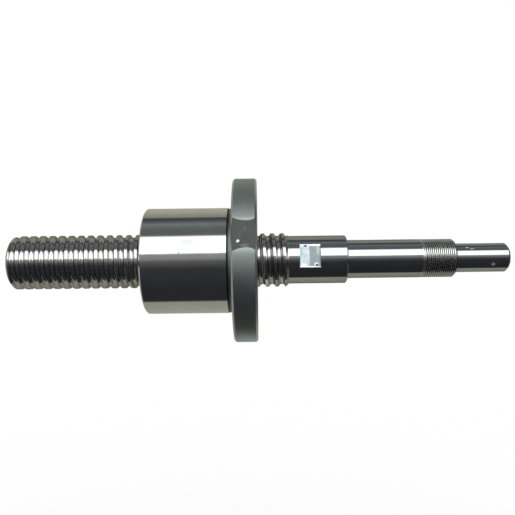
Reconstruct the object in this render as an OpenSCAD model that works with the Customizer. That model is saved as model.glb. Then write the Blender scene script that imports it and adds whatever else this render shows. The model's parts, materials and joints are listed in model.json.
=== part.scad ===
// A ball screw: a ground shaft with a right-hand ball thread and machined journals, and a flanged
// nut whose balls run round in two circuits, each closed by a return tube on the nut's far side.
// The shaft lies along +X, towards its drive end, and the origin is on its axis at the shoulder
// that a bearing seats against. All sizes are in millimetres.

/* [Ball thread] */
// Outer diameter of the ball thread
screw_d = 28; // [26:0.5:30]
// Advance of the nut for one turn
lead = 5; // [4.5:0.5:5.5]
// Diameter of a ball
ball_d = 3.175; // [2.8:0.025:3.2]
// How far the balls' centres run outside the thread's crest
ball_rise = 0.3; // [0.2:0.05:0.5]
// Play between a ball and its track
track_play = 0.09; // [0.08:0.01:0.2]
// Length of the ball thread
thread_l = 143; // [110:1:165]
// Bevel at each end of the ball thread
thread_bevel = 1.2; // [0.6:0.1:1.3]

/* [Shaft ends] */
// Diameter of the land between the thread and the bearing seat
land_d = 25; // [23:0.5:25]
// Length of the land
land_l = 30; // [24:1:45]
// Distance from the thread's end to the spanner flats
flats_start = 5.5; // [3:0.5:8]
// Length of the spanner flats along the shaft
flats_l = 10.5; // [8:0.5:14]
// Size across the spanner flats
flats_across = 22; // [20:0.5:22.5]
// How far the spanner flats are turned about the shaft, in degrees
flats_turn = 10; // [0:1:45]
// Diameter of the bearing seat
journal_d = 20; // [18:0.5:21]
// Length of the bearing seat with its lock-nut thread
journal_l = 56; // [45:1:80]
// Length of the lock-nut thread
lock_l = 18.5; // [12:0.5:22]
// Pitch of the lock-nut thread
lock_pitch = 1; // [1:0.25:1.5]
// Diameter of the drive end
drive_d = 15; // [12:0.5:16]
// Length of the drive end
drive_l = 28; // [20:1:40]
// Bevel at the drive end
drive_bevel = 1.2; // [0.5:0.1:2]
// Bevel at the bearing shoulder
shoulder_bevel = 0.5; // [0.2:0.1:1]
// Mouth of the centre hole in each end face
centre_d = 4.2; // [3:0.1:5]

/* [Nut] */
// Outer diameter of the nut's ground body
nut_d = 55; // [54:0.5:60]
// Distance from the bearing shoulder to the flange's outer face
nut_standoff = 46; // [40:1:60]
// How far the nut is turned about the shaft, in degrees
nut_turn = -106; // [-180:1:180]
// Bevel round the nut's rear face
nut_bevel = 0.7; // [0.4:0.1:1.5]
// Width of the unground neck beside the flange
neck_l = 2.5; // [1:0.5:4]
// Depth of that neck
neck_depth = 0.2; // [0.1:0.05:0.5]
// Gap between the thread's crest and the nut's bore
bore_play = 0.45; // [0.35:0.05:0.6]
// Wall between the flange's back and the pocket for the return tubes
front_wall = 2.6; // [2.2:0.1:4]
// Wall between that pocket and the rear wiper's seat
rear_wall = 3.3; // [2:0.1:6]

/* [Flange] */
// Diameter of the flange
flange_d = 85; // [84:0.5:92]
// Thickness of the flange
flange_t = 12; // [10:0.5:14]
// Bevel on both rims of the flange
flange_bevel = 0.9; // [0.4:0.1:1.5]
// Diameter of the circle that the bolt holes lie on
bolt_circle_d = 69; // [68:0.5:74]
// Number of bolt holes
bolt_count = 6; // [4:1:8]
// Diameter of a bolt hole
bolt_d = 6.6; // [5.5:0.1:7]
// Diameter of its counterbore
bolt_head_d = 11; // [9.5:0.5:11.5]
// Depth of its counterbore
bolt_head_depth = 6.5; // [4:0.5:7.5]
// Width of the flat milled on the rim for the oil port
rim_flat_w = 13; // [10:0.5:18]
// Tapping diameter of the oil port
port_d = 5; // [4:0.5:5]
// Diameter of the bevel at the oil port's mouth
port_mouth_d = 6; // [5.2:0.1:6.6]
// Depth of the oil port
port_depth = 8; // [5:0.5:10]
// Diameter of the drilling from the port to the ball track
drilling_d = 2; // [1.5:0.1:2.5]
// Distance from the flange's back to the oil port
port_inset = 3.7; // [3.6:0.1:4.2]

/* [Wipers] */
// Distance from the ball track to the wall of the wiper's seat
seat_step = 2; // [1.6:0.1:2.5]
// Width of a wiper
wiper_w = 3.3; // [2.5:0.1:3.8]
// Gap between a wiper and the thread's crest
wiper_play = 0.3; // [0.2:0.05:0.6]
// Diameter of the retaining rings' wire
ring_wire_d = 1.6; // [1.2:0.1:1.8]
// Distance from the nut's end face to the middle of the ring's groove
ring_setback = 1.6; // [1.3:0.1:2]
// Play of a retaining ring in its groove
ring_play = 0.05; // [0.05:0.01:0.1]
// Opening of a retaining ring, in degrees
ring_gap = 14; // [8:1:30]

/* [Ball return] */
// Loaded turns of one circuit
loaded_turns = 2.5; // [1.5,2.5]
// Wall of a return tube
tube_wall = 0.65; // [0.5:0.05:0.7]
// Play between a ball and the return tube
tube_play = 0.1625; // [0.1225:0.01:0.2025]
// Radius of a return tube's bends
bend_r = 6; // [5:0.5:7]
// Depth of the pocket milled for the tubes
pocket_depth = 7.9; // [7.8:0.05:8.2]
// Room between a tube and the end of the pocket
pocket_room = 0.5; // [0.3:0.1:0.6]
// Height above the shaft's middle at which a tube's tongue ends
tongue_end = 1.6; // [1.6:0.1:3]
// Play between neighbouring balls
ball_gap = 0.035; // [0.02:0.005:0.1]

/* [Tube clamp] */
// Thickness of the clamp's sheet
clamp_t = 1.2; // [0.8:0.1:1.4]
// Width of the clamp's saddles
saddle_w = 8; // [6:0.5:9]
// Length of the clamp's foot
foot_l = 18; // [17:0.5:20]
// Width of the clamp's foot
foot_w = 6; // [5.6:0.2:6.4]
// Distance between the clamp's two screws
screw_spacing = 12.4; // [12:0.2:13]
// Diameter of the clamp's screws
clamp_screw_d = 3; // [2.5:0.1:3]
// Thickness of the spring washers
washer_t = 0.7; // [0.5:0.1:1]
// Depth of the tapped holes under the clamp
tapped_depth = 3.3; // [2.5:0.1:3.4]

/* [Hidden] */

// Facets of the two threads, and of the round shapes
thread_sides = 24;
track_steps = 5;
$fn = 64;

// Small clearances: overrun of a cut, a seated fit, and the least step between two thread vertices
over = 1;
fit = 0.05;
merge_step = 0.03;

// The ball track
crest_r = screw_d / 2;
centre_r = crest_r + ball_rise;
track_r = ball_d / 2 + track_play;
bore_r = crest_r + bore_play;
nut_track_r = centre_r + track_r;

// Places along the shaft
journal_end = journal_l;
drive_end = journal_end + drive_l;
thread_end = -land_l;
thread_start = thread_end - thread_l;
lock_start = journal_end - lock_l;

// The nut in its own frame: X from the flange's outer face, +Z out of the pocket for the tubes
nut_r = nut_d / 2;
seat_r = nut_track_r + seat_step;
seat_depth = ring_setback + ring_wire_d / 2 + ring_play + wiper_w + fit;
tube_bore_r = ball_d / 2 + tube_play;
tube_r = tube_bore_r + tube_wall;
floor_z = nut_r - pocket_depth;
tube_z = floor_z + tube_r + fit;
circuit_l = lead * loaded_turns;
circuit_step = lead * ceil(loaded_turns + 0.1);
pocket_front = -flange_t - front_wall;
front_leg = pocket_front - pocket_room - tube_r;
rear_leg = front_leg - circuit_step;
pocket_rear = rear_leg - circuit_l - tube_r - pocket_room;
nut_l = -pocket_rear + rear_wall + seat_depth;

// The track's place on the shaft follows from the nut's place and turn, since the balls join them
track_phase = -nut_standoff + front_leg - lead * nut_turn / 360;
tubes_middle = (front_leg + rear_leg - circuit_l) / 2;

// A tube in its own plane: half the span between its legs, and the middle of its bends. The span
// is rounded, so that the pieces of a tube meet in exact planes.
run_turn = atan2(2 * centre_r, circuit_l);
half_span = round(50 * norm([circuit_l, 2 * centre_r])) / 100;
bend_x = half_span - bend_r;
bend_z = tube_z - bend_r;
tube_offset = circuit_step * sin(run_turn) / 2;

// Clamp screws
head_d = clamp_screw_d * 1.83;
head_h = clamp_screw_d * 0.6;
washer_d = clamp_screw_d * 1.75;
screw_hole_d = clamp_screw_d + 0.4;

// Outline of one pitch of the ball track as [distance, radius], starting at an edge of the groove.
// side is -1 for the groove in the shaft and 1 for the one in the nut. The straight steps lie
// outside the true arc, so that a ball keeps its play along the whole of it.
function track_outline(edge_r, side) =
    let (
        lift = side * (edge_r - centre_r),
        reach = track_r / cos(acos(lift / track_r) / track_steps),
        last = acos(lift / reach),
        half = reach * sin(last)
    )
    [for (i = [0 : track_steps])
        let (a = last * (2 * i / track_steps - 1))
        [half + reach * sin(a), centre_r + side * reach * cos(a)]];

// Half the width of the groove at its edge
function track_half(edge_r, side) = track_outline(edge_r, side)[track_steps][0] / 2;

// A 60-degree thread as the same kind of outline: crest, flank, narrow root, flank
function vee_outline(major_r, pitch) =
    [[0, major_r], [pitch / 8, major_r], [pitch * 9 / 16, major_r - 0.6134 * pitch]];

// Radius of an outline at any distance along it
function outline_r(outline, pitch, x) =
    lookup(x - pitch * floor(x / pitch), concat(outline, [[pitch, outline[0][1]]]));

// Position at a turn of the shaft: 0 degrees is +Y and 90 is +Z
function around(x, r, turn) = [x, r * cos(turn), r * sin(turn)];

// A rod along X with a right-hand helical outline, whose first vertex passes 0 degrees at phase.
// Each end narrows to end_r over its bevel. Vertices that would lie past an end join its ring.
module helical_rod(outline, pitch, phase, x0, x1, bevel0, bevel1, end_r) {
    sides = thread_sides;
    count = len(outline);
    first = x0 + bevel0;
    last = x1 - bevel1;
    base = phase + pitch * (floor((first - phase) / pitch) - 2);
    rows = count * (ceil((last - base) / pitch) + 1);
    grid = 4 * sides + 2;

    function row_x(g, j) = base + pitch * (floor(g / count) + j / sides) + outline[g % count][0];
    function ring_r(x, j) = outline_r(outline, pitch, x - base - pitch * j / sides);
    function vertex(g, j) =
        let (x = row_x(g, j), column = j % sides)
        x < first + merge_step ? sides + column
        : x > last - merge_step ? 2 * sides + column
        : grid + column * rows + g + (j == sides ? count : 0);
    function triangle(a, b, c) = a == b || b == c || a == c ? [] : [[a, b, c]];

    columns = [for (j = [0 : sides - 1]) 360 * j / sides];
    points = concat(
        [for (j = [0 : sides - 1]) around(x0, min(end_r, ring_r(x0, j)), columns[j])],
        [for (j = [0 : sides - 1]) around(first, ring_r(first, j), columns[j])],
        [for (j = [0 : sides - 1]) around(last, ring_r(last, j), columns[j])],
        [for (j = [0 : sides - 1]) around(x1, min(end_r, ring_r(x1, j)), columns[j])],
        [[x0, 0, 0], [x1, 0, 0]],
        [for (j = [0 : sides - 1], g = [0 : rows - 1])
            around(min(last, max(first, row_x(g, j))), outline[g % count][1], columns[j])]
    );
    strips = [for (j = [0 : sides - 1], g = [0 : rows - 2])
        each concat(
            triangle(vertex(g, j), vertex(g + 1, j), vertex(g + 1, j + 1)),
            triangle(vertex(g, j), vertex(g + 1, j + 1), vertex(g, j + 1)))];
    ends = [for (j = [0 : sides - 1])
        let (k = (j + 1) % sides)
        each [[j, sides + j, sides + k], [j, sides + k, k],
            [2 * sides + j, 3 * sides + j, 3 * sides + k], [2 * sides + j, 3 * sides + k, 2 * sides + k],
            [4 * sides, j, k], [4 * sides + 1, 3 * sides + k, 3 * sides + j]]];
    polyhedron(points, concat(strips, ends), convexity = 10);
}

// A solid turned about the X axis from [x, radius] points
module turned(points) {
    rotate([0, 90, 0]) rotate_extrude() polygon([for (p = points) [p[1], p[0]]]);
}

// A cylinder along +X from x0 to x1
module bar(x0, x1, r) {
    translate([x0, 0, 0]) rotate([0, 90, 0]) cylinder(h = x1 - x0, r = r);
}

// A lathe centre in an end face at x, drilled inwards along side * X: a pilot hole and a
// 60-degree mouth
module lathe_centre(x, side) {
    pilot_r = centre_d / 5;
    mouth = (centre_d / 2 - pilot_r) / tan(30);
    translate([x, 0, 0]) rotate([0, side * 90, 0]) {
        translate([0, 0, -over]) cylinder(h = over + centre_d, r = pilot_r);
        cylinder(h = mouth, r1 = centre_d / 2, r2 = pilot_r);
    }
}

// The plain parts of the shaft as one turned outline
module shaft_land() {
    land_r = land_d / 2;
    root = 0.3;
    turned([[thread_end, 0], [thread_end, land_r - root], [thread_end + root, land_r],
        [-shoulder_bevel, land_r], [0, land_r - shoulder_bevel], [0, journal_d / 2],
        [lock_start, journal_d / 2], [lock_start, 0]]);
}

module shaft_drive_end() {
    drive_r = drive_d / 2;
    turned([[journal_end, 0], [journal_end, drive_r], [drive_end - drive_bevel, drive_r],
        [drive_end, drive_r - drive_bevel], [drive_end, 0]]);
}

module spanner_flats() {
    size = screw_d + 2 * over;
    rotate([-flats_turn, 0, 0]) for (side = [-1, 1])
        translate([thread_end + flats_start, side * (flats_across + size) / 2 - size / 2, -size / 2])
            cube([flats_l, size, size]);
}

module screw_shaft() {
    groove = track_outline(crest_r, -1);
    lock_r = journal_d / 2 - 0.02;
    lock_bevel = 0.8;
    color("silver") difference() {
        union() {
            helical_rod(groove, lead, track_phase - track_half(crest_r, -1), thread_start,
                thread_end, thread_bevel, thread_bevel, crest_r - thread_bevel);
            shaft_land();
            helical_rod(vee_outline(lock_r, lock_pitch), lock_pitch, 0, lock_start, journal_end,
                0.3, lock_bevel, lock_r - lock_bevel);
            shaft_drive_end();
        }
        spanner_flats();
        lathe_centre(thread_start, 1);
        lathe_centre(drive_end, -1);
    }
}

// Everything on the nut is drawn in the nut's own frame and then set on the shaft
module on_nut() {
    translate([-nut_standoff, 0, 0]) rotate([nut_turn, 0, 0]) children();
}

// The plane of a return tube whose first leg is at x: X from the tube's middle to that leg, Z up
module in_tube_plane(x) {
    translate([x - circuit_l / 2, 0, 0]) rotate([0, 0, run_turn]) children();
}

module tube_section() {
    difference() {
        circle(r = tube_r);
        circle(r = tube_bore_r);
    }
}

// A leg, from the height where its tongue ends, and the bend above it
module leg_and_bend() {
    translate([bend_x, 0, bend_z]) {
        translate([bend_r, 0, tongue_end - bend_z]) linear_extrude(bend_z - tongue_end) tube_section();
        rotate([90, 0, 0]) rotate_extrude(angle = 90) translate([bend_r, 0]) tube_section();
    }
}

// The bore trims each leg's foot to a tongue that lifts the balls out of the track
module return_tube(x) {
    color("lightsteelblue") on_nut() difference() {
        in_tube_plane(x) union() {
            for (turn = [0, 180]) rotate([0, 0, turn]) leg_and_bend();
            translate([-bend_x, 0, tube_z]) rotate([0, 90, 0]) linear_extrude(2 * bend_x) tube_section();
        }
        bar(pocket_rear - over, pocket_front + over, bore_r + fit);
    }
}

// Room in the nut's body for a tube's legs, below them for the balls, and inwards for the bends
module leg_holes(x) {
    hole_r = tube_r + fit;
    slot_x = bend_x + tube_r;
    in_tube_plane(x) for (turn = [0, 180]) rotate([0, 0, turn]) {
        translate([half_span, 0, 0]) cylinder(h = tongue_end, r = track_r);
        translate([half_span, 0, tongue_end - fit]) cylinder(h = floor_z, r = hole_r);
        translate([slot_x, 0, bend_z - fit]) cylinder(h = bend_r, r = hole_r);
        translate([slot_x, -hole_r, bend_z - fit]) cube([half_span - slot_x, 2 * hole_r, bend_r]);
    }
}

module pocket() {
    translate([pocket_rear, -nut_r, floor_z]) cube([pocket_front - pocket_rear, nut_d, nut_r]);
}

module seat(x, side) {
    bar(min(x + side * seat_depth, x - side * over), max(x + side * seat_depth, x - side * over),
        seat_r);
    translate([x + side * ring_setback, 0, 0]) rotate([0, 90, 0])
        rotate_extrude() translate([seat_r, 0]) circle(r = ring_wire_d / 2 + ring_play);
}

module bolt_holes() {
    half = 180 / bolt_count;
    for (i = [0 : bolt_count - 1])
        rotate([360 * i / bolt_count + half - 90, 0, 0]) translate([0, bolt_circle_d / 2, 0]) {
            bar(-flange_t - over, over, bolt_d / 2);
            bar(-bolt_head_depth, over, bolt_head_d / 2);
        }
}

// Place of the oil port along the nut, and distance of its flat from the axis
port_x = port_inset - flange_t;
rim_flat_z = sqrt(pow(flange_d / 2, 2) - pow(rim_flat_w / 2, 2));

module oil_port() {
    translate([-flange_t - over, -flange_d / 2, -flange_d / 2 - over])
        cube([flange_t + 2 * over, flange_d, flange_d / 2 + over - rim_flat_z]);
    translate([port_x, 0, -rim_flat_z]) {
        cylinder(h = rim_flat_z - centre_r, r = drilling_d / 2);
        rotate_extrude() polygon([[0, -over], [port_mouth_d / 2 + over, -over],
            [port_d / 2, (port_mouth_d - port_d) / 2], [port_d / 2, port_depth], [0, port_depth]]);
    }
}

// Places of the clamp's screws, in the clamp's frame
screw_places = [-screw_spacing / 2, screw_spacing / 2];

// The clamp's frame: on the pocket's floor, X along the tubes' run
module on_floor() {
    on_nut() translate([tubes_middle, 0, floor_z]) rotate([0, 0, run_turn]) children();
}

module tapped_holes() {
    translate([tubes_middle, 0, floor_z]) rotate([0, 0, run_turn]) for (x = screw_places)
        translate([x, 0, -tapped_depth]) cylinder(h = tapped_depth + over, r = clamp_screw_d / 2 + fit);
}

module nut_body() {
    track = [for (p = track_outline(bore_r, 1)) [p[0], p[1] / cos(180 / thread_sides)]];
    phase = front_leg - track_half(bore_r, 1);
    flange_r = flange_d / 2;
    neck_r = nut_r - neck_depth;
    color("lightslategray") on_nut() difference() {
        turned([[-nut_l, 0], [-nut_l, nut_r - nut_bevel], [-nut_l + nut_bevel, nut_r],
            [-flange_t - neck_l, nut_r], [-flange_t - neck_l, neck_r], [-flange_t, neck_r],
            [-flange_t, flange_r - flange_bevel], [-flange_t + flange_bevel, flange_r],
            [-flange_bevel, flange_r], [0, flange_r - flange_bevel], [0, 0]]);
        helical_rod(track, lead, phase, -nut_l + seat_depth - over, -seat_depth + over,
            over / 4, over / 4, nut_r);
        seat(-nut_l, 1);
        seat(0, -1);
        pocket();
        for (x = [front_leg, rear_leg]) leg_holes(x);
        bolt_holes();
        oil_port();
        tapped_holes();
    }
}

// A wiper with a lip that lies close to the thread, seated from the nut's end face at x
module wiper(x, side) {
    inner = x + side * (seat_depth - fit);
    outer = inner - side * wiper_w;
    lip_r = crest_r + wiper_play;
    back_r = lip_r + 1.1;
    color("ivory") on_nut() turned([[inner, back_r], [inner, seat_r - fit], [outer, seat_r - fit],
        [outer, lip_r + 0.2], [outer + side * 0.4, lip_r], [outer + side * 1.2, lip_r]]);
}

module wiper_front() { wiper(0, -1); }

module wiper_rear() { wiper(-nut_l, 1); }

// A round-wire ring in its groove, open at the top of the pocket's side
module snap_ring(x) {
    color("dimgray") on_nut() translate([x, 0, 0]) rotate([0, 90, 0]) rotate([0, 0, 180 + ring_gap / 2])
        rotate_extrude(angle = 360 - ring_gap) translate([seat_r, 0]) circle(r = ring_wire_d / 2);
}

module snap_ring_front() { snap_ring(-ring_setback); }

module snap_ring_rear() { snap_ring(-nut_l + ring_setback); }

module return_tube_front() { return_tube(front_leg); }

module return_tube_rear() { return_tube(rear_leg); }

// Half of the clamp's section: the middle of the foot, the riser and the saddle over one tube
module clamp_half() {
    inner = tube_r + fit;
    outer = inner + clamp_t;
    axis_z = tube_z - floor_z;
    square([tube_offset - inner, clamp_t]);
    translate([tube_offset - outer, 0]) square([clamp_t, axis_z]);
    translate([tube_offset, axis_z]) intersection() {
        difference() {
            circle(r = outer);
            circle(r = inner);
        }
        translate([-outer, 0]) square([2 * outer, outer]);
    }
}

module tube_clamp() {
    color("lightgray") on_floor() difference() {
        union() {
            translate([-saddle_w / 2, 0, 0]) rotate([90, 0, 90]) linear_extrude(saddle_w) {
                clamp_half();
                mirror([1, 0]) clamp_half();
            }
            translate([-foot_l / 2, -foot_w / 2, 0]) cube([foot_l, foot_w, clamp_t]);
        }
        for (x = screw_places) translate([x, 0, -over]) cylinder(h = clamp_t + 2 * over, r = screw_hole_d / 2);
    }
}

module clamp_washers() {
    slot = 0.5;
    color("gray") on_floor() for (x = screw_places) translate([x, 0, clamp_t]) difference() {
        cylinder(h = washer_t, r = washer_d / 2);
        translate([0, 0, -over]) cylinder(h = washer_t + 2 * over, r = clamp_screw_d / 2 + fit);
        rotate([0, 0, 25]) translate([0, -slot / 2, -over]) cube([washer_d, slot, washer_t + 2 * over]);
    }
}

// Socket-head screws with a shallow dome of a bevel and a hexagon socket
module clamp_screws() {
    seat_z = clamp_t + washer_t;
    bevel = head_h / 4;
    shank = seat_z + tapped_depth - 0.3;
    color("darkslategray") on_floor() for (x = screw_places) translate([x, 0, seat_z]) difference() {
        rotate_extrude() polygon([[0, -shank], [clamp_screw_d / 2 - bevel, -shank],
            [clamp_screw_d / 2, bevel - shank], [clamp_screw_d / 2, 0], [head_d / 2, 0],
            [head_d / 2, head_h - bevel], [head_d / 2 - bevel, head_h], [0, head_h]]);
        translate([0, 0, head_h * 0.4]) cylinder(h = head_h, r = clamp_screw_d * 0.42, $fn = 6);
    }
}

// The closed loop of a circuit: the loaded helix, then leg, bend, run, bend and leg
loaded_l = norm([2 * PI * centre_r, lead]) * loaded_turns;
bend_l = bend_r * PI / 2;
half_return_l = bend_z + bend_l + bend_x;
loop_l = loaded_l + 2 * half_return_l;
ball_count = floor(loop_l / (ball_d + ball_gap));

// A place on the loaded helix at s from the first leg
function loaded_place(x, s) =
    let (turns = loaded_turns * s / loaded_l)
    around(x - lead * turns, centre_r, -360 * turns);

// A place in the tube's plane on the half above the first leg, at s from that leg's foot
function half_place(s) =
    let (angle = 90 * (s - bend_z) / bend_l)
    s < bend_z ? [half_span, 0, s]
    : s < bend_z + bend_l ? [bend_x + bend_r * cos(angle), 0, bend_z + bend_r * sin(angle)]
    : [half_return_l - s, 0, tube_z];

// A place in the tube's plane at s from the second leg's foot, where the balls leave the track
function return_place(s) =
    let (place = half_place(min(s, 2 * half_return_l - s)))
    s < half_return_l ? [-place[0], 0, place[2]] : place;

step = loop_l / ball_count;
loaded_count = floor(loaded_l / step + 0.5);

module load_balls(x) {
    color("gainsboro") on_nut() for (i = [0 : loaded_count - 1])
        translate(loaded_place(x, (i + 0.5) * step)) sphere(d = ball_d, $fn = 24);
}

module return_balls(x) {
    color("lightgray") on_nut() in_tube_plane(x) for (i = [loaded_count : ball_count - 1])
        translate(return_place((i + 0.5) * step - loaded_l)) sphere(d = ball_d, $fn = 24);
}

module load_balls_front() { load_balls(front_leg); }

module load_balls_rear() { load_balls(rear_leg); }

module return_balls_front() { return_balls(front_leg); }

module return_balls_rear() { return_balls(rear_leg); }

screw_shaft();
nut_body();
wiper_front();
wiper_rear();
snap_ring_front();
snap_ring_rear();
return_tube_front();
return_tube_rear();
tube_clamp();
clamp_screws();
clamp_washers();
load_balls_front();
load_balls_rear();
return_balls_front();
return_balls_rear();
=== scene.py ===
import json
import math
import bmesh
import bpy
from mathutils import Matrix, Vector

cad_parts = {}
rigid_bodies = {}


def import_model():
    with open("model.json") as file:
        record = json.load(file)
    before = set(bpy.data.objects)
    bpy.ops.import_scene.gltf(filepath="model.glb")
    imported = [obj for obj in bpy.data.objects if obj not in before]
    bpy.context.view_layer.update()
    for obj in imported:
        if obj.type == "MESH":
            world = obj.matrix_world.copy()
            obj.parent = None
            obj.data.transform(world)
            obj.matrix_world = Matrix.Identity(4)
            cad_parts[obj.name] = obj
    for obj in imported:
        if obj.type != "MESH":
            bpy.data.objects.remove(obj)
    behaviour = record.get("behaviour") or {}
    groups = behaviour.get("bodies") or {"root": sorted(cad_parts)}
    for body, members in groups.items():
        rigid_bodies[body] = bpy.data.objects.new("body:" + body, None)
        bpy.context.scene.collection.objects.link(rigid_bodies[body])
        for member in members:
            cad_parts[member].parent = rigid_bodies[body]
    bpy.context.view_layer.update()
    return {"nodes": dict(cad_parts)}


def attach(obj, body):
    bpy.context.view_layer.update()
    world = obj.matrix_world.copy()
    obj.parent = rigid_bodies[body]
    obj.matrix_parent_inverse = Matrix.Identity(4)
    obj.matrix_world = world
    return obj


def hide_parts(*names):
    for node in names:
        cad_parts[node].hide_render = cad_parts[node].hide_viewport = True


for startupObject in list(bpy.data.objects):
    bpy.data.objects.remove(startupObject)
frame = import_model()
nodes = frame["nodes"]
mm = 0.001
near = 1e-3  # millimetres within which two points count as one


# The photograph looks square on at the shaft's middle, from about 0.3 m. The lens and the frame
# are in pixels.
cameraPlace = {"location": (-44.62, -294.68, 1.35), "lens": 560.68, "frame": 515,
               "forward": (-0.0046, 1.0, 0.0001), "up": (0.0118, 0.0, 0.9999),
               "sensor": 36, "clip": (0.01, 30)}


def addCamera(place):
    data = bpy.data.cameras.new("photoCamera")
    data.sensor_fit = "HORIZONTAL"
    data.sensor_width = place["sensor"]
    data.lens = place["sensor"] * place["lens"] / place["frame"]
    data.clip_start, data.clip_end = place["clip"]
    camera = bpy.data.objects.new("photoCamera", data)
    bpy.context.scene.collection.objects.link(camera)
    back = -Vector(place["forward"]).normalized()
    right = Vector(place["up"]).cross(back).normalized()
    up = back.cross(right)
    turn = Matrix((right, up, back)).transposed().to_4x4()
    camera.matrix_world = Matrix.Translation(Vector(place["location"]) * mm) @ turn
    bpy.context.scene.camera = camera
    bpy.context.view_layer.update()


addCamera(cameraPlace)
print("camera placed")


def wire(bm, outline):
    points = [bm.verts.new((x, r, 0)) for x, r in outline]
    return points + [bm.edges.new(pair) for pair in zip(points, points[1:])]


def turned(bm, outline, sides):
    bmesh.ops.spin(bm, geom=wire(bm, outline), cent=(0, 0, 0), axis=(1, 0, 0), dvec=(0, 0, 0),
                   angle=2 * math.pi, steps=sides, use_merge=True)


def threaded(bm, outline, pitch, phase, start, end, sides):
    # one turn of the outline is wound and then repeated, and the ends are cut off square
    turns = math.ceil((end - start) / pitch) + 2
    base = phase + pitch * (math.floor((start - phase) / pitch) - 1)
    bmesh.ops.spin(bm, geom=wire(bm, [(base + x, r) for x, r in outline]), cent=(0, 0, 0),
                   axis=(1, 0, 0), dvec=(pitch / sides, 0, 0), angle=2 * math.pi, steps=sides,
                   use_merge=False)
    first = bm.verts[:] + bm.edges[:] + bm.faces[:]
    for i in range(1, turns):
        turn = bmesh.ops.duplicate(bm, geom=first)["geom"]
        bmesh.ops.translate(bm, vec=(i * pitch, 0, 0),
                            verts=[v for v in turn if isinstance(v, bmesh.types.BMVert)])
    bmesh.ops.remove_doubles(bm, verts=bm.verts, dist=near / 5)
    for x, side in ((start, -1), (end, 1)):
        cut(bm, x, side)


def cut(bm, x, side=0):
    bmesh.ops.bisect_plane(bm, geom=bm.verts[:] + bm.edges[:] + bm.faces[:], dist=near / 10,
                           plane_co=(x, 0, 0), plane_no=(side or 1, 0, 0), clear_outer=bool(side))


def taper(bm, end, inward, bevel, endRadius):
    # narrows the thread to endRadius over its bevel
    cut(bm, end + inward * bevel)
    for v in bm.verts:
        depth = (v.co.x - end) * inward
        r = math.hypot(v.co.y, v.co.z)
        if depth < bevel + near and r > endRadius + depth:
            v.co.yz = v.co.yz * ((endRadius + depth) / r)


def closeRing(bm, x):
    # fills the flat ring or disc left open at x
    rim = [e for e in bm.edges if e.is_boundary and all(abs(v.co.x - x) < near for v in e.verts)]
    bmesh.ops.triangle_fill(bm, use_beauty=True, use_dissolve=False, edges=rim, normal=(1, 0, 0))


def join(bm, part):
    mesh = bpy.data.meshes.new("join")
    part.to_mesh(mesh)
    part.free()
    bm.from_mesh(mesh)
    bpy.data.meshes.remove(mesh)


def finished(bm, name, materials, sharpAngle=32, place=None):
    # closes the mesh, marks its sharp edges and makes it an object at the origin, in metres
    bmesh.ops.remove_doubles(bm, verts=bm.verts, dist=near / 5)
    bmesh.ops.recalc_face_normals(bm, faces=bm.faces)
    for f in bm.faces:
        f.smooth = True
    for e in bm.edges:
        e.smooth = not (e.is_manifold and e.calc_face_angle(0) > math.radians(sharpAngle))
    if place:
        bmesh.ops.transform(bm, matrix=place, verts=bm.verts)
    bmesh.ops.scale(bm, vec=(mm, mm, mm), verts=bm.verts)
    mesh = bpy.data.meshes.new(name)
    bm.to_mesh(mesh)
    bm.free()
    piece = bpy.data.objects.new(name, mesh)
    bpy.context.scene.collection.objects.link(piece)
    for material in materials:
        mesh.materials.append(material)
    return piece


def centreHole(x, inward, mouth):
    # lathe centre: 60-degree mouth and a pilot
    pilot = mouth / 2.5
    depth = (mouth - pilot) / math.tan(math.radians(30))
    return [(x, mouth), (x + inward * depth, pilot), (x + inward * mouth * 2, pilot),
            (x + inward * (mouth * 2 + pilot / 2), 0)]


shaftSizes = {
    "crest": 14.0, "lead": 5.0, "ballCentre": 14.3, "track": 1.6775, "trackSteps": 12,
    "trackTrim": 0.07, "edgeRound": 0.13, "phase": -62.0278, "start": -173.0, "end": -30.0,
    "bevel": 1.2, "sides": 96, "ringSides": 144, "land": 12.5, "flatsFrom": -24.5,
    "flatsTo": -14.0, "flatsHalf": 11.0, "flatsTurn": 10.0, "flatsGap": 0.01,
    "shoulderBevel": 0.5, "journal": 10.0, "lockFrom": 37.5, "lockTo": 56.0, "lockCrest": 9.97,
    "lockPitch": 1.0, "lockDepth": 0.6, "lockShares": (0.42, 0.64, 0.78), "lockBevel": 0.8,
    "lockPaint": 0.3, "runoutFrom": 1.1, "runout": 1.2, "drive": 7.5, "driveTo": 84.0,
    "driveBevel": 1.2, "centreMouth": 2.1, "centreSides": 48}


def trackOutline(s, edge, side):
    # one pitch of the ball track: the round groove with eased edges, and the land after it
    last = math.acos(side * (edge - s["ballCentre"]) / s["track"])
    half = s["track"] * math.sin(last)
    ease = s["edgeRound"]
    outline = [(-ease, edge)]
    for i in range(s["trackSteps"] + 1):
        a = (last - s["trackTrim"]) * (2 * i / s["trackSteps"] - 1)
        outline.append((half + s["track"] * math.sin(a),
                        s["ballCentre"] + side * s["track"] * math.cos(a)))
    return outline + [(2 * half + ease, edge), (s["lead"] - ease, edge)]


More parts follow.
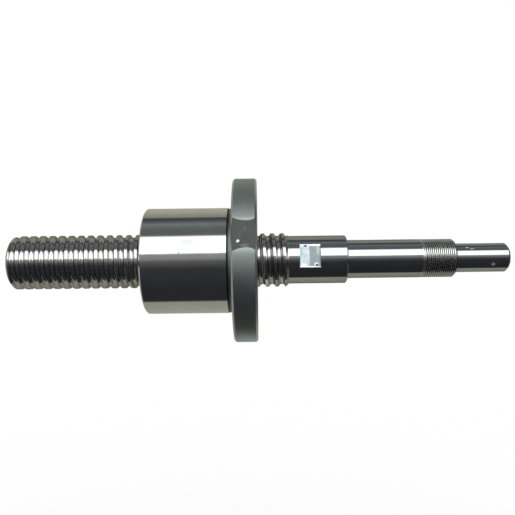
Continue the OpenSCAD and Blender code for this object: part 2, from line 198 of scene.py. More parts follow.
def screwShaft(s, materials):
    half = s["track"] * math.sin(math.acos((s["ballCentre"] - s["crest"]) / s["track"]))
    bm = bmesh.new()
    threaded(bm, trackOutline(s, s["crest"], -1), s["lead"], s["phase"] - half, s["start"],
             s["end"], s["sides"])
    taper(bm, s["start"], 1, s["bevel"], s["crest"] - s["bevel"])
    taper(bm, s["end"], -1, s["bevel"], s["crest"] - s["bevel"])

    land, gap = s["land"], s["flatsGap"]
    plain = bmesh.new()
    turned(plain, [(s["end"], land), (s["flatsFrom"] - gap, land), (s["flatsFrom"] + gap, land),
                   (s["flatsTo"] - gap, land), (s["flatsTo"] + gap, land),
                   (-s["shoulderBevel"], land), (0, land - s["shoulderBevel"]), (0, s["journal"]),
                   (s["lockFrom"], s["journal"])], s["ringSides"])
    millFlats(plain, s)
    join(bm, plain)

    lock = bmesh.new()
    crest, pitch, deep = s["lockCrest"], s["lockPitch"], s["lockCrest"] - s["lockDepth"]
    crestEnd, rootStart, rootEnd = (share * pitch for share in s["lockShares"])
    threaded(lock, [(0, crest), (crestEnd, crest), (rootStart, deep), (rootEnd, deep),
                    (pitch, crest)], pitch, 0, s["lockFrom"], s["lockTo"], s["sides"])
    for v in lock.verts:
        share = min(1, max(0, (v.co.x - s["lockFrom"] - s["runoutFrom"]) / s["runout"]))
        r = math.hypot(v.co.y, v.co.z)
        v.co.yz = v.co.yz * ((crest - (crest - r) * share) / r)
    taper(lock, s["lockTo"], -1, s["lockBevel"], crest - s["lockBevel"])
    join(bm, lock)

    drive = bmesh.new()
    turned(drive, [(s["lockTo"], s["drive"]), (s["driveTo"] - s["driveBevel"], s["drive"]),
                   (s["driveTo"], s["drive"] - s["driveBevel"]), (s["driveTo"], s["centreMouth"])]
           + centreHole(s["driveTo"], -1, s["centreMouth"])[1:], s["ringSides"])
    join(bm, drive)
    tail = bmesh.new()
    turned(tail, centreHole(s["start"], 1, s["centreMouth"]), s["centreSides"])
    join(bm, tail)
    for x in (s["start"], s["end"], s["lockFrom"], s["lockTo"]):
        closeRing(bm, x)
    # 0 ground seats, 1 spanner flats, 2 lock thread, 3 ball thread, 4 end faces and shoulders
    normal = flatNormal(s)
    ends = (s["start"], s["end"], 0, s["lockTo"], s["driveTo"])
    for f in bm.faces:
        middle = f.calc_center_median()
        onFlat = abs(abs(middle.dot(normal)) - s["flatsHalf"]) < near
        if s["flatsFrom"] < middle.x < s["flatsTo"] and onFlat \
                and middle.yz.length > s["flatsHalf"] - near:
            f.material_index = 1
        elif any(abs(middle.x - x) < near for x in ends):
            f.material_index = 4
        elif s["lockFrom"] + s["runoutFrom"] - s["lockPaint"] < middle.x < s["lockTo"]:
            f.material_index = 2
        elif middle.x < s["end"]:
            f.material_index = 3
    return finished(bm, "shaft", materials)


def flatNormal(s):
    flat = math.radians(s["flatsTurn"])
    return Vector((0, -math.cos(flat), math.sin(flat)))


def millFlats(bm, s):
    def inside(x):
        return s["flatsFrom"] < x < s["flatsTo"]

    for side in (-1, 1):
        normal = side * flatNormal(s)
        faces = [f for f in bm.faces if inside(f.calc_center_median().x)]
        geom = set(faces)
        for f in faces:
            geom.update(f.edges)
            geom.update(f.verts)
        bmesh.ops.bisect_plane(bm, geom=list(geom), dist=near / 10, plane_no=normal,
                               plane_co=normal * s["flatsHalf"])
        for v in bm.verts:
            proud = v.co.dot(normal) - s["flatsHalf"]
            if inside(v.co.x) and proud > 0:
                v.co -= normal * proud


nutSizes = {
    "standoff": -46.0, "turn": -106.0, "body": 27.5, "length": 57.0, "bevel": 0.7,
    "neck": 27.3, "neckLength": 2.5, "neckFillet": 0.8, "filletSteps": 5, "flange": 42.5,
    "flangeThick": 12.0, "flangeBevel": 0.9, "seat": 17.9775, "seatDepth": 5.8, "ringBack": 1.6,
    "ringGroove": 0.85, "ringSteps": 8, "bore": 14.45, "lead": 5.0, "ballCentre": 14.3,
    "track": 1.6775, "trackSteps": 8, "trackTrim": 0.07, "edgeRound": 0.05, "phase": -17.5,
    "sides": 192, "boreSides": 64, "boltCircle": 34.5, "boltCount": 6, "boltTurn": -60,
    "bolt": 3.3, "boltHead": 5.5, "boltHeadDepth": 6.5, "rim": 0.35, "relief": 0.25,
    "reliefWidth": 0.45, "reliefSlope": 0.15, "rimFlat": 42.0, "rimFlatTurn": -0.95,
    "rimEase": ((-13, 0.45), (-12, 0.42), (-11.1, 0.28), (-9.6, 0.15), (-8.4, 0.08), (-6.9, 0.03),
                (-5, 0.0), (-3, 0.03), (-1.8, 0.1), (-0.9, 0.2), (0, 0.34), (1, 0.4)),
    "portX": -8.3, "port": 2.5, "portMouth": 3.0, "portDepth": 8.0, "drilling": 1.0,
    "drillingEnd": 15, "pocketFrom": -47.9, "pocketTo": -14.6, "pocketFloor": 19.6,
    "legs": (-17.5, -32.5), "circuit": 12.5, "runTurn": 66.39, "halfSpan": 15.61, "slot": 12.01,
    "bendZ": 16.05, "leg": 2.45, "tongueEnd": 1.55, "screws": (-6.2, 6.2), "screwHole": 1.55,
    "screwDeep": 3.3, "over": 1, "overlap": 0.05}


def nutBlank(s):
    half = s["track"] * math.sin(math.acos((s["bore"] - s["ballCentre"]) / s["track"]))
    rear, inner = -s["length"], -s["seatDepth"]
    bm = bmesh.new()
    threaded(bm, trackOutline(s, s["bore"], 1), s["lead"], s["phase"] - half, rear - inner, inner,
             s["boreSides"])

    def seatOutline(face, inward):
        # from the seat's bottom out to its mouth, with the retaining ring's groove
        middle, r, steps = face + inward * s["ringBack"], s["ringGroove"], s["ringSteps"]
        groove = [(middle + inward * r * math.cos(a), s["seat"] + r * math.sin(a))
                  for a in (math.pi * i / steps for i in range(steps + 1))]
        return [(face + inward * s["seatDepth"], s["seat"])] + groove + [(face, s["seat"])]

    fillet, steps, back = s["neckFillet"], s["filletSteps"], -s["flangeThick"]
    curve = [(back - fillet * (1 - math.sin(a)), s["neck"] + fillet * (1 - math.cos(a)))
             for a in (math.pi / 2 * i / steps for i in range(steps, -1, -1))]
    endOfNeck, low = back - s["neckLength"], s["neck"] - s["relief"]  # the wheel's relief groove
    outer = bmesh.new()
    turned(outer, seatOutline(0, -1)
           + [(0, s["flange"] - s["flangeBevel"]), (-s["flangeBevel"], s["flange"]),
              (back + s["flangeBevel"], s["flange"]), (back, s["flange"] - s["flangeBevel"])]
           + curve
           + [(endOfNeck + s["reliefWidth"] + s["reliefSlope"], s["neck"]),
              (endOfNeck + s["reliefWidth"], low), (endOfNeck, low),
              (endOfNeck - (s["body"] - low), s["body"]),
              (rear + s["bevel"], s["body"]), (rear, s["body"] - s["bevel"])]
           + seatOutline(rear, 1)[::-1], s["sides"])
    join(bm, outer)
    closeRing(bm, inner)
    closeRing(bm, rear - inner)
    return finished(bm, "nutBlank", [])


def drill(bm, x, y, z, r, depth, direction, sides=48, r2=None):
    # a cutter's cylinder or cone, from its middle at (x, y, z) along the direction
    turn = Vector((0, 0, 1)).rotation_difference(Vector(direction)).to_matrix().to_4x4()
    place = Matrix.Translation((x, y, z)) @ turn @ Matrix.Translation((0, 0, depth / 2))
    bmesh.ops.create_cone(bm, cap_ends=True, segments=sides, radius1=r,
                          radius2=r if r2 is None else r2, depth=depth, matrix=place)


def block(bm, low, high, turn=Matrix.Identity(4)):
    low, high = Vector(low), Vector(high)
    bmesh.ops.create_cube(bm, size=1, matrix=turn @ Matrix.Translation((low + high) / 2)
                          @ Matrix.Diagonal((*(high - low), 1)))


def nutCutters(s):
    # each cutter is a closed shape of its own, in the order in which it is cut
    cutters = []

    def cutter():
        cutters.append(bmesh.new())
        return cutters[-1]

    def acrossRun(x):
        # the frame of a return tube or of the clamp, whose middle is at x
        return Matrix.Translation((x, 0, 0)) @ Matrix.Rotation(math.radians(s["runTurn"]), 4, "Z")

    body, flange, back, rim = s["body"], s["flange"], -s["flangeThick"], s["rim"]
    over, overlap = s["over"], s["overlap"]
    bolt, head, headDepth = s["bolt"], s["boltHead"], s["boltHeadDepth"]
    for i in range(s["boltCount"]):
        a = math.radians(s["boltTurn"] + 360 * i / s["boltCount"])
        y, z = s["boltCircle"] * math.cos(a), s["boltCircle"] * math.sin(a)
        # the hole, the counterbore, and the countersinks of both faces
        for x, r, depth, r2 in ((back - over, bolt, s["flangeThick"] + 2 * over, None),
                                (-headDepth, head, headDepth + over, None),
                                (-rim, head, 2 * rim, head + 2 * rim),
                                (back - rim, bolt + 2 * rim, 2 * rim, bolt)):
            drill(cutter(), x, y, z, r, depth, (1, 0, 0), r2=r2)
    bm = cutter()
    block(bm, (back - over, -flange, -flange - 2 * over), (over, flange, -s["rimFlat"]))
    for x, _ in s["rimEase"][1:-1]:
        cut(bm, x)
    for v in bm.verts:  # the flat is worn down towards both faces
        if v.co.z > -flange:
            v.co.z += min(s["rimEase"], key=lambda place: abs(place[0] - v.co.x))[1]
    bmesh.ops.rotate(bm, verts=bm.verts,
                     matrix=Matrix.Rotation(math.radians(s["rimFlatTurn"]), 3, "X"))
    drill(cutter(), s["portX"], 0, -s["rimFlat"] - over, s["port"], s["portDepth"] + over,
          (0, 0, 1))
    mouth = s["portMouth"] - s["port"]
    drill(cutter(), s["portX"], 0, -s["rimFlat"] - mouth, s["portMouth"] + mouth, 2 * mouth,
          (0, 0, 1), r2=s["port"])
    drill(cutter(), s["portX"], 0, -s["rimFlat"] + over, s["drilling"],
          s["rimFlat"] - s["drillingEnd"], (0, 0, 1))
    block(cutter(), (s["pocketFrom"], -body - over, s["pocketFloor"]),
          (s["pocketTo"], body + over, body + over))
    slotFoot = s["bendZ"] - overlap
    for x in s["legs"]:
        plane = acrossRun(x - s["circuit"] / 2)
        top = s["pocketFloor"] + over
        for side in (-1, 1):
            for reach, foot, r in ((s["halfSpan"], 0, s["track"]),
                                   (s["halfSpan"], s["tongueEnd"], s["leg"]),
                                   (s["slot"], slotFoot, s["leg"])):
                place = plane @ Vector((side * reach, 0, foot))
                height = s["tongueEnd"] + overlap if foot == 0 else top - foot
                drill(cutter(), *place, r, height, (0, 0, 1))
            block(cutter(), (s["slot"], -s["leg"], slotFoot), (s["halfSpan"], s["leg"], top),
                  plane @ Matrix.Rotation(math.radians(90 - 90 * side), 4, "Z"))
    clampPlane = acrossRun(sum(s["legs"]) / 2 - s["circuit"] / 2)
    for x in s["screws"]:
        place = clampPlane @ Vector((x, 0, s["pocketFloor"] - s["screwDeep"]))
        drill(cutter(), *place, s["screwHole"], s["screwDeep"] + over, (0, 0, 1))
    return cutters


def carved(piece, cutters, name, materials, place, paint):
    # cuts each shape out in turn, then finishes the mesh where it belongs
    tools = bpy.data.collections.new("tools")
    for bm in cutters:
        tool = finished(bm, "tool", [])
        bpy.context.scene.collection.objects.unlink(tool)
        tools.objects.link(tool)
    carve = piece.modifiers.new("carve", "BOOLEAN")
    carve.operation, carve.solver, carve.operand_type = "DIFFERENCE", "EXACT", "COLLECTION"
    carve.collection = tools
    bpy.context.view_layer.update()
    shape = piece.evaluated_get(bpy.context.evaluated_depsgraph_get())
    bm = bmesh.new()
    bm.from_mesh(shape.to_mesh())
    shape.to_mesh_clear()
    for tool in list(tools.objects):
        bpy.data.objects.remove(tool)
    bpy.data.collections.remove(tools)
    bpy.data.objects.remove(piece)
    bmesh.ops.scale(bm, vec=(1 / mm, 1 / mm, 1 / mm), verts=bm.verts)
    bmesh.ops.dissolve_degenerate(bm, dist=near / 10, edges=bm.edges)
    bmesh.ops.recalc_face_normals(bm, faces=bm.faces)
    for f in bm.faces:
        f.material_index = paint(f)
    return finished(bm, name, materials, place=place)


# how far, and how steeply, each finish of the nut reaches
nutPaint = {"rimInset": 0.2, "flatDepth": 0.6, "reliefBehind": 0.3, "reliefAhead": 0.7, "wall": 5,
            "square": 0.9, "slanted": 0.5}


def nutFinish(f):
    # 0 ground body, 1 turned rim, 2 rim flat and oil hole, and the relief groove darkened as
    # painted shade, 3 faces, 4 neck, darker in part as painted shade, 5 pocket and bores, 6 rim
    # bevels
    s, reach = nutSizes, nutPaint
    middle, normal = f.calc_center_median(), f.normal
    r, back = middle.yz.length, -s["flangeThick"]
    fromPort = math.hypot(middle.x - s["portX"], middle.y)
    if normal.z < -reach["square"] and r < s["flange"] - reach["rimInset"] \
            and middle.z < -s["rimFlat"] + reach["flatDepth"]:
        return 2
    endOfNeck = back - s["neckLength"]
    # the relief groove behind the neck gets the dark finish as painted shade
    inShadedRelief = endOfNeck - reach["reliefBehind"] < middle.x < endOfNeck + reach["reliefAhead"]
    if inShadedRelief and s["bore"] + reach["wall"] < r < s["neck"] - near \
            and abs(normal.x) < reach["square"]:
        return 2
    if fromPort < s["portMouth"] + near and middle.z < -s["rimFlat"] + s["portDepth"] + near:
        return 2
    outward = normal.yz.length > reach["slanted"] and normal.yz.dot(middle.yz) > 0
    if middle.x > back - near and r > s["flange"] - s["flangeBevel"] - near and outward:
        return 6 if abs(normal.x) > reach["slanted"] else 1
    if abs(normal.x) > reach["square"]:
        return 3
    if r > s["neck"] - s["relief"] - near and outward and middle.x > endOfNeck - near:
        return 4
    if r > s["body"] - s["bevel"] and outward and middle.x < back \
            and normal.yz.normalized().dot(middle.yz.normalized()) > reach["square"]:
        return 0
    return 5


# All finishes, and the studio, are put together from shader nodes by this.
def nodeAdder(tree):
    tree.nodes.clear()

    def add(kind, inputs=None, **settings):
        node = tree.nodes.new("ShaderNode" + kind)
        for key, value in settings.items():
            setattr(node, key, value)
        for key, value in (inputs or {}).items():
            if isinstance(value, bpy.types.NodeSocket):
                tree.links.new(value, node.inputs[key])
            else:
                node.inputs[key].default_value = value
        return node
    return add


def newMaterial(name):
    material = bpy.data.materials.new(name)
    material.use_nodes = True
    return material, nodeAdder(material.node_tree)


def colourRamp(add, source, stops, scale=1):
    node = add("ValToRGB", {"Fac": source})
    elements = node.color_ramp.elements
    while len(elements) < len(stops):
        elements.new(0.5)
    for element, (place, colour) in zip(elements, stops):
        element.position = place
        element.color = (*(c / scale for c in colour), 1)
    return node.outputs["Color"]


def ramped(add, value, nothing, full):
    # rises from 0 at the first value to 1 at the second
    return add("MapRange", {"Value": value, "From Min": nothing, "From Max": full}).outputs[0]


# what every finish has in common: how stains change tone and gloss, and how a mark's edge fades
finishRules = {"stainStops": (0.3, 0.7), "roughStops": (0.7, 1.3), "edgeScale": 1400,
               "edgeFade": (1.15, 0.8), "bumpDepth": 0.00002}


def metalFinish(name, s):
    # steel whose tone, gloss and fine marks follow the way in which it was machined
    material, add = newMaterial(name)
    place = add("TexCoord").outputs["Object"]

    def noise(vector, scale, detail, rough=0.5):
        vector = add("Mapping", {"Vector": vector, "Scale": scale}).outputs[0]
        return add("TexNoise", {"Vector": vector, "Scale": 1.0, "Detail": detail,
                                "Roughness": rough}).outputs["Fac"]

    across = add("Mapping", {"Vector": place, "Scale": (0, 1, 1)}).outputs[0]
    radius = add("VectorMath", {0: across}, operation="LENGTH").outputs["Value"]
    if "rings" in s:  # marks of the lathe's tool on a face
        rings = add("CombineXYZ", {"X": radius}).outputs[0]
        marks = noise(rings, (s["rings"], 0, 0), 3)
    else:
        marks = noise(place, s["marks"], 4)
    stains = noise(place, (s["stainScale"],) * 3, 5, 0.6)
    tone = colourRamp(add, stains, list(zip(finishRules["stainStops"], s["tone"])))
    both = add("Math", {0: marks, 1: stains}, operation="ADD").outputs[0]
    smoothAt, roughAt = finishRules["roughStops"]
    rough = add("MapRange", {"Value": both, "From Min": smoothAt, "From Max": roughAt,
                             "To Min": s["rough"][0], "To Max": s["rough"][1]}).outputs[0]
    for patch in s.get("patches", ()):
        if "below" in patch:  # oil and shade at the bottom of a groove
            nothing, full = (r * mm for r in patch["below"])
            inside = ramped(add, radius, nothing, full)
        elif "pastX" in patch:  # a second pass of the cutter
            nothing, full = (x * mm for x in patch["pastX"])
            along = add("SeparateXYZ", {0: place}).outputs["X"]
            inside = ramped(add, along, nothing, full)
        else:  # a mark of its own, round its place
            reach = [r * mm for r in patch["reach"]]
            ragged = patch.get("ragged", 0.4)
            moved = add("Mapping", {"Vector": place, "Scale": [1 / r for r in reach],
                                    "Location": [-a * mm / r for a, r in zip(patch["at"], reach)]})
            far = add("VectorMath", {0: moved.outputs[0]}, operation="LENGTH").outputs["Value"]
            edge = noise(place, (finishRules["edgeScale"],) * 3, 2)
            far = add("Math", {0: edge, 1: ragged, 2: far}, operation="MULTIPLY_ADD").outputs[0]
            outer, inner = finishRules["edgeFade"]
            inside = ramped(add, far, outer + ragged / 2, inner + ragged / 2)
        amount = patch.get("amount", 1)
        if amount < 1:
            inside = add("Math", {0: inside, 1: amount}, operation="MULTIPLY").outputs[0]
        tone = add("MixRGB", {"Fac": inside, "Color1": tone,
                              "Color2": (*patch["tone"], 1)}).outputs[0]
        rough = add("MapRange", {"Value": inside, "To Min": rough,
                                 "To Max": patch["rough"]}).outputs[0]
    bump = add("Bump", {"Strength": s["bump"], "Height": marks,
                        "Distance": s.get("bumpDepth", finishRules["bumpDepth"])})
    shader = add("BsdfPrincipled", {"Base Color": tone, "Roughness": rough,
                                    "Metallic": s.get("metal", 1.0), "Normal": bump.outputs[0],
                                    "Specular Tint": (*s.get("edgeTint", (1, 1, 1)), 1)})
    add("OutputMaterial", {"Surface": shader.outputs[0]})
    return material


nutSteel = metalFinish("groundNutSteel", {
    "tone": ((0.59, 0.59, 0.58), (0.64, 0.64, 0.625)), "rough": (0.05, 0.10),
    "marks": (2600, 60, 60), "stainScale": 90, "bump": 0.12,
    "patches": [
        {"at": (-83.54, -27.18, 4.16), "reach": (0.35, 0.4, 0.3), "tone": (0.03, 0.03, 0.03),
         "rough": 0.5},
        {"at": (-79.5, -25.9, 9.1), "reach": (4.5, 3, 1.5), "tone": (0.34, 0.37, 0.375),
         "rough": 0.16, "ragged": 2.2, "amount": 0.7}]})
groundSteel = metalFinish("groundShaftSteel", {
    "tone": ((0.46, 0.465, 0.475), (0.51, 0.515, 0.525)), "rough": (0.05, 0.10),
    "edgeTint": (0.47, 0.48, 0.50), "marks": (2600, 60, 60), "stainScale": 90, "bump": 0.12,
    "patches": [
        {"at": (62.2, -5.45, 5.2), "reach": (1.0, 0.8, 0.22), "tone": (0.85, 0.92, 1.0),
         "rough": 0.6, "ragged": 0.7},
        {"at": (64.3, -6.0, 4.5), "reach": (1.1, 0.8, 0.2), "tone": (0.7, 0.8, 0.92),
         "rough": 0.55, "ragged": 0.7},
        {"at": (74.9, -6.65, -3.45), "reach": (1.2, 1.2, 1.0), "tone": (0.85, 0.85, 0.92),
         "rough": 0.58, "ragged": 0.3, "amount": 0.9}]})
threadSteel = metalFinish("threadSteel", {
    "tone": ((0.465, 0.455, 0.45), (0.555, 0.545, 0.54)), "rough": (0.07, 0.16),
    "edgeTint": (0.42, 0.385, 0.37), "marks": (2200, 90, 90), "stainScale": 260, "bump": 0.3})
lockSteel = metalFinish("lockThreadSteel", {
    "tone": ((0.62, 0.62, 0.61), (0.71, 0.71, 0.69)), "rough": (0.2, 0.3),
    "edgeTint": (0.55, 0.53, 0.52), "marks": (2600, 90, 90), "stainScale": 200, "bump": 0.15,
    "patches": [{"below": (9.66, 9.45), "tone": (0.15, 0.15, 0.15), "rough": 0.35}]})
flatSteel = metalFinish("milledFlatSteel", {
    "tone": ((0.36, 0.44, 0.48), (0.70, 0.78, 0.82)), "rough": (0.30, 0.46),
    "marks": (600, 420, 420), "stainScale": 620, "bump": 0.75, "bumpDepth": 0.00008,
    "patches": [
        {"pastX": (-19.75, -19.35), "tone": (0.25, 0.285, 0.29), "rough": 0.42, "amount": 0.8},
        {"at": (-15.2, -10.4, 4.6), "reach": (0.9, 5, 2.8), "tone": (0.5, 0.56, 0.56),
         "rough": 0.35, "ragged": 1.2, "amount": 0.6},
        # painted highlights along the flat's upper and lower edges
        {"at": (-16.6, -9.9, 7.5), "reach": (3.2, 5, 0.6), "tone": (0.9, 0.94, 0.95),
         "rough": 0.3, "ragged": 0.9},
        {"at": (-22.0, -9.9, 7.5), "reach": (2.6, 5, 0.9), "tone": (0.75, 0.83, 0.85),
         "rough": 0.35, "ragged": 1.0, "amount": 0.7},
        {"at": (-19.2, -11.86, -3.75), "reach": (6.2, 5, 0.5), "tone": (0.9, 0.94, 0.95),
         "rough": 0.4, "ragged": 0.8},
        {"at": (-22.6, -11.7, -2.9), "reach": (1.5, 5, 1.1), "tone": (0.95, 0.98, 1.0),
         "rough": 0.4, "ragged": 0.9},
        # a painted glint round the nick that follows
        {"at": (-16.2, -11.7, -2.4), "reach": (1.0, 5, 1.0), "tone": (0.8, 0.85, 0.87),
         "rough": 0.4, "ragged": 0.6},
        {"at": (-15.95, -11.66, -2.7), "reach": (0.62, 5, 0.6), "tone": (0.02, 0.02, 0.025),
         "rough": 0.5, "ragged": 0.5},
        {"at": (-21.75, -9.95, 6.93), "reach": (0.9, 5, 0.45), "tone": (0.06, 0.08, 0.09),
         "rough": 0.5, "ragged": 0.9}]})
turnedSteel = metalFinish("turnedRimSteel", {
    "tone": ((0.335, 0.375, 0.36), (0.38, 0.42, 0.405)), "rough": (0.44, 0.50),
    "marks": (1800, 70, 70), "stainScale": 60, "bump": 0.06})
bevelSteel = metalFinish("bevelSteel", {
    "tone": ((0.40, 0.44, 0.42), (0.46, 0.50, 0.475)), "rough": (0.18, 0.26),
    "marks": (500, 500, 500), "stainScale": 200, "bump": 0.05})
# rougher turned neck; its darker tone is partly painted shade in the corner between flange and
# body
neckSteelAndShade = metalFinish("neckSteelAndShade", {
    "tone": ((0.21, 0.255, 0.22), (0.26, 0.305, 0.265)), "rough": (0.46, 0.56),
    "marks": (1800, 70, 70), "stainScale": 90, "bump": 0.1})
# the rim flat's own dark finish, also on the oil hole and its plug; on the relief groove behind
# the neck it is painted shade
darkFinishAndShade = metalFinish("darkMilledSteelAndShade", {
    "tone": ((0.070, 0.070, 0.071), (0.092, 0.096, 0.090)), "rough": (0.42, 0.52),
    "marks": (900, 500, 500), "stainScale": 220, "bump": 0.2,
    "patches": [
        {"at": (-54.7, -41.1, 9.0), "reach": (0.75, 1.5, 0.68), "tone": (0.5, 0.54, 0.55),
         "rough": 0.3, "ragged": 1.1},
        # a faint painted glint on the flat
        {"at": (-51.5, -39.6, 14.3), "reach": (0.25, 1.5, 1.1), "tone": (0.13, 0.135, 0.135),
         "rough": 0.35, "ragged": 0.3, "amount": 0.7},
        {"at": (-51.5, -41.9, 6.9), "reach": (1.9, 1.5, 0.9), "tone": (0.14, 0.145, 0.145),
         "rough": 0.4, "ragged": 0.6, "amount": 0.7}]})
faceSteel = metalFinish("facedSteel", {
    "tone": ((0.34, 0.355, 0.35), (0.42, 0.435, 0.43)), "rough": (0.26, 0.38),
    "rings": 1500, "stainScale": 60, "bump": 0.10})
milledSteel = metalFinish("milledSteel", {
    "tone": ((0.35, 0.36, 0.355), (0.43, 0.44, 0.435)), "rough": (0.25, 0.36),
    "marks": (250, 700, 700), "stainScale": 90, "bump": 0.15})
tubeSteel = metalFinish("tubeSteel", {
    "tone": ((0.55, 0.56, 0.57), (0.66, 0.67, 0.68)), "rough": (0.14, 0.24),
    "marks": (500, 500, 500), "stainScale": 200, "bump": 0.1})
sheetSteel = metalFinish("clampSheetSteel", {
    "tone": ((0.56, 0.56, 0.55), (0.68, 0.68, 0.66)), "rough": (0.22, 0.34),
    "marks": (900, 200, 200), "stainScale": 200, "bump": 0.2})
blackSteel = metalFinish("blackScrewSteel", {
    "tone": ((0.02, 0.02, 0.022), (0.045, 0.045, 0.05)), "rough": (0.3, 0.45),
    "marks": (900, 900, 900), "stainScale": 400, "bump": 0.15})
ringSteel = metalFinish("springWireSteel", {
    "tone": ((0.22, 0.21, 0.2), (0.32, 0.31, 0.3)), "rough": (0.25, 0.38),
    "marks": (600, 600, 600), "stainScale": 300, "bump": 0.1})
ballSteel = metalFinish("ballSteel", {
    "tone": ((0.66, 0.66, 0.66), (0.72, 0.72, 0.72)), "rough": (0.03, 0.06),
    "marks": (300, 300, 300), "stainScale": 200, "bump": 0.02})
wiperPlastic = metalFinish("wiperPlastic", {
    "tone": ((0.62, 0.58, 0.49), (0.7, 0.66, 0.57)), "rough": (0.4, 0.55), "metal": 0.0,
    "marks": (300, 300, 300), "stainScale": 120, "bump": 0.1})
print("finishes ready")

shaft = screwShaft(shaftSizes, [groundSteel, flatSteel, lockSteel, threadSteel, faceSteel])
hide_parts("screw_shaft")
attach(shaft, "screw")
print("shaft", len(shaft.data.polygons))

onShaft = Matrix.Translation((nutSizes["standoff"], 0, 0)) @ Matrix.Rotation(
    math.radians(nutSizes["turn"]), 4, "X")
nut = carved(nutBlank(nutSizes), nutCutters(nutSizes), "nut",
             [nutSteel, turnedSteel, darkFinishAndShade, faceSteel, neckSteelAndShade, milledSteel, bevelSteel],
             onShaft, nutFinish)
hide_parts("nut_body")
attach(nut, "nut")
print("nut", len(nut.data.polygons))

# the plug pressed into the oil hole: its head fills the hole's mouth
plugSizes = {"radius": 2.48, "length": 3.0, "head": 2.95, "sunk": 0.04, "edge": 0.04,
             "sides": 48}


def oilPlug(s, material):
    r, head, edge, sunk = s["radius"], s["head"], s["edge"], s["sunk"]
    bm = bmesh.new()
    turned(bm, [(0, 0), (0, head - edge), (-edge, head), (-edge - head + r, r),
                (-s["length"], r), (-s["length"], 0)], s["sides"])
    inPort = Matrix.Translation((nutSizes["portX"], 0, sunk - nutSizes["rimFlat"])) \
        @ Matrix.Rotation(math.radians(90), 4, "Y")
    return finished(bm, "oilPlug", [material], place=onShaft @ inPort)


plug = oilPlug(plugSizes, darkFinishAndShade)
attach(plug, "nut")
print("oil plug", len(plug.data.polygons))

nodeFinish = {
    "wiper_front": wiperPlastic, "wiper_rear": wiperPlastic,
    "snap_ring_front": ringSteel, "snap_ring_rear": ringSteel,
    "return_tube_front": tubeSteel, "return_tube_rear": tubeSteel,
    "tube_clamp": sheetSteel, "clamp_screws": blackSteel, "clamp_washers": ringSteel,
    "load_balls_front": ballSteel, "load_balls_rear": ballSteel,
    "return_balls_front": ballSteel, "return_balls_rear": ballSteel}
for name, finish in nodeFinish.items():
    slots = nodes[name].data.materials
    for i in range(len(slots)):
        slots[i] = finish
    if not slots:
        slots.append(finish)
print("CAD pieces finished")


# What polished steel reflects, by the angle over the front horizon: a pale table behind the part,
# a dark room in front, and one wide soft light over the camera. Behind the part the left side is
# light and the right side dark, which shows in the chamfers.
studio = {
    "floorZ": -0.2, "floorHalf": 6, "lean": 8.0, "left": (0.50, 0.50, 0.46),
    "right": (0.14, 0.15, 0.15), "sideFrom": (0.55, 0.8), "behindFrom": (-0.05, 0.05),
    "endFrom": (0.985, 0.998),
    # painted reflections for the flange's rim: its shadow on the table, then the lit table
    "cards": {"shadowReflectionCard": ((-62, -50, -62), (-42, -11, -62), 0.03),
              "tableReflectionCard": ((-59.5, -8, -62), (-38, 75, -62), 0.95)},
    "bands": [
        (-180, (0.44, 0.43, 0.37)), (-130, (0.43, 0.43, 0.365)), (-98, (0.40, 0.40, 0.335)),
        (-93.5, (0.031, 0.033, 0.034)), (-60, (0.031, 0.033, 0.035)),
        (-38, (0.036, 0.041, 0.050)), (-15, (0.045, 0.049, 0.053)), (-8, (0.09, 0.09, 0.09)),
        (1, (0.15, 0.15, 0.15)), (6, (0.32, 0.33, 0.325)), (16.6, (0.38, 0.40, 0.40)),
        (17.9, (2.15, 2.2, 2.2)), (52.0, (2.15, 2.2, 2.2)), (53.8, (1.45, 1.55, 1.57)),
        (56.4, (0.42, 0.47, 0.48)), (57.8, (0.155, 0.168, 0.165)), (70, (0.152, 0.165, 0.16)),
        (78, (0.18, 0.20, 0.20)), (86, (0.235, 0.275, 0.29)), (93, (0.155, 0.18, 0.205)),
        (98, (0.09, 0.10, 0.115)), (106.5, (0.07, 0.077, 0.086)), (109.5, (0.335, 0.335, 0.29)),
        (117, (0.38, 0.38, 0.325)), (132, (0.50, 0.505, 0.41)), (180, (0.46, 0.45, 0.39))]}


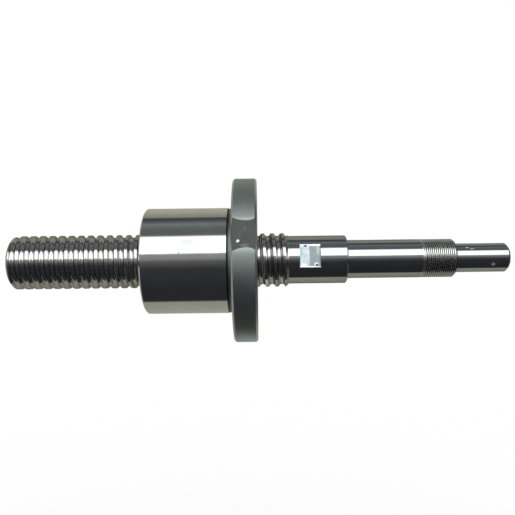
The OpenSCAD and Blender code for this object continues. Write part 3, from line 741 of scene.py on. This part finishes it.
def buildStudio(s):
    world = bpy.data.worlds.new("studio")
    bpy.context.scene.world = world
    world.use_nodes = True
    world.cycles.sampling_method = "NONE"
    add = nodeAdder(world.node_tree)
    direction = add("TexCoord").outputs["Generated"]
    x, y, z = add("SeparateXYZ", {0: direction}).outputs

    def maths(operation, *values):
        return add("Math", dict(enumerate(values)), operation=operation).outputs[0]

    forward = maths("MULTIPLY", y, -1)
    angle = maths("ARCTAN2", z, forward)
    lean = maths("MULTIPLY", x, math.radians(s["lean"]))
    turn = maths("DIVIDE", maths("SUBTRACT", angle, lean), 2 * math.pi)
    brightest = max(max(colour) for _, colour in s["bands"])
    bands = colourRamp(add, maths("ADD", turn, 0.5),
                       [((degrees + 180) / 360, colour) for degrees, colour in s["bands"]],
                       brightest)
    sideways = maths("ABSOLUTE", x)
    behind = maths("MULTIPLY", ramped(add, sideways, *s["sideFrom"]),
                   ramped(add, y, *s["behindFrom"]))
    side = maths("MAXIMUM", behind, ramped(add, sideways, *s["endFrom"]))
    left, right = ((*(c / brightest for c in s[key]), 1) for key in ("left", "right"))
    sides = add("MixRGB", {"Fac": maths("GREATER_THAN", x, 0), "Color1": left,
                           "Color2": right}).outputs[0]
    shown = add("MixRGB", {"Fac": side, "Color1": bands, "Color2": sides}).outputs[0]
    reflected = add("Background", {"Color": shown, "Strength": brightest})
    plain = add("Background", {"Color": (1, 1, 1, 1), "Strength": 1.0})
    path = add("LightPath")
    mix = add("MixShader", {"Fac": path.outputs["Is Glossy Ray"], 1: plain.outputs[0],
                            2: reflected.outputs[0]})
    add("OutputWorld", {"Surface": mix.outputs[0]})

    def sheet(name, low, high, colour):
        bm = bmesh.new()
        bmesh.ops.create_grid(bm, x_segments=1, y_segments=1, size=0.5)
        size, middle = Vector(high) - Vector(low), (Vector(high) + Vector(low)) / 2
        bmesh.ops.transform(bm, matrix=Matrix.Translation(middle) @ Matrix.Diagonal(
            (size.x, size.y, 1, 1)), verts=bm.verts)
        mesh = bpy.data.meshes.new(name)
        bm.to_mesh(mesh)
        bm.free()
        piece = bpy.data.objects.new(name, mesh)
        bpy.context.scene.collection.objects.link(piece)
        material, add = newMaterial(name)
        matte = add("BsdfDiffuse", {"Color": (*colour, 1)})
        add("OutputMaterial", {"Surface": matte.outputs[0]})
        mesh.materials.append(material)
        return piece

    half, z = s["floorHalf"], s["floorZ"]
    floor = sheet("paleFloor", (-half, -half, z), (half, half, z), (1, 1, 1))
    floor.visible_glossy = False
    # two cards under the flange, seen only in its rim: a painted reflection of the flange's shadow
    # on the table, and a painted reflection of the lit table beyond it
    for name, (low, high, tone) in s["cards"].items():
        card = sheet(name, Vector(low) * mm, Vector(high) * mm, (tone,) * 3)
        card.visible_camera = card.visible_diffuse = card.visible_shadow = False


buildStudio(studio)
bpy.context.scene.view_settings.view_transform = "Standard"
print("studio ready")
